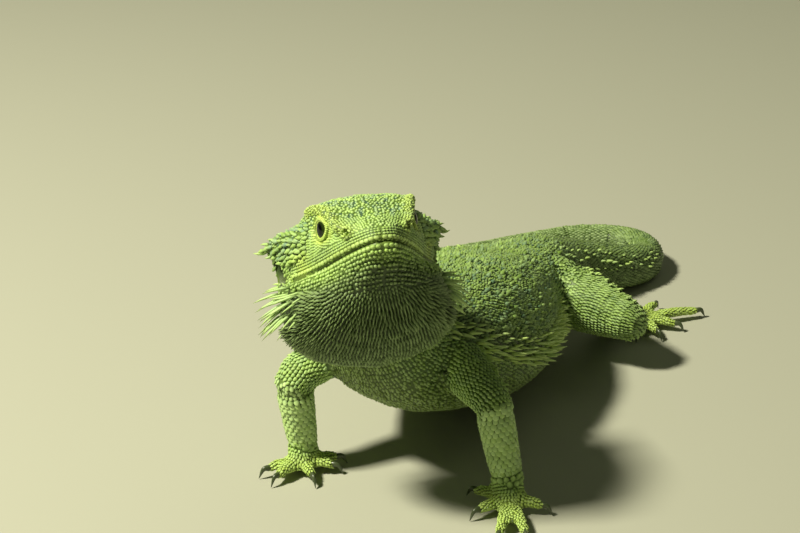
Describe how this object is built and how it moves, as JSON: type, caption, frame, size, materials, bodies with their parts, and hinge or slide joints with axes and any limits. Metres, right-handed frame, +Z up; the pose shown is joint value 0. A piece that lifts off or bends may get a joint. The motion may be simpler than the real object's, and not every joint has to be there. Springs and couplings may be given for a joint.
{
  "type": "bearded dragon",
  "caption": "Life-size still model of a bearded dragon lizard propped up on its forelegs, head raised and turned, beard full, tail curled behind.",
  "frame": {"origin": "middle of the footprint at floor level", "axes": "+Z up; the trunk lies along Y with the head towards -Y and the animal's left side towards +X; the head itself is turned to the animal's left"},
  "size_m": [0.1424, 0.2536, 0.1056],
  "materials": {
    "head_skin": "dry keeled scales",
    "beard_skin": "dry spiny scales",
    "body_skin": "dry keeled scales",
    "limb_skin": "dry overlapping scales",
    "tail_skin": "dry keeled scales",
    "eye": "wet, clear",
    "claw": "satin horn"
  },
  "bodies": {
    "root": {"beard": "beard_skin", "belly": "body_skin", "chest": "body_skin", "claw_foot_left_1": "claw", "claw_foot_left_2": "claw", "claw_foot_left_3": "claw", "claw_foot_left_4": "claw", "claw_foot_left_5": "claw", "claw_foot_right_1": "claw", "claw_foot_right_2": "claw", "claw_foot_right_3": "claw", "claw_foot_right_4": "claw", "claw_foot_right_5": "claw", "claw_hand_left_1": "claw", "claw_hand_left_2": "claw", "claw_hand_left_3": "claw", "claw_hand_left_4": "claw", "claw_hand_left_5": "claw", "claw_hand_right_1": "claw", "claw_hand_right_2": "claw", "claw_hand_right_3": "claw", "claw_hand_right_4": "claw", "claw_hand_right_5": "claw", "eye_left": "eye", "eye_right": "eye", "foot_left": "limb_skin", "foot_right": "limb_skin", "forearm_left": "limb_skin", "forearm_right": "limb_skin", "hand_left": "limb_skin", "hand_right": "limb_skin", "head": "head_skin", "hips": "body_skin", "lower_jaw": "head_skin", "neck": "body_skin", "shank_left": "limb_skin", "shank_right": "limb_skin", "tail_1": "tail_skin", "tail_2": "tail_skin", "tail_3": "tail_skin", "tail_4": "tail_skin", "tail_5": "tail_skin", "tail_6": "tail_skin", "thigh_left": "limb_skin", "thigh_right": "limb_skin", "upper_arm_left": "limb_skin", "upper_arm_right": "limb_skin"}
  },
  "joints": []
}
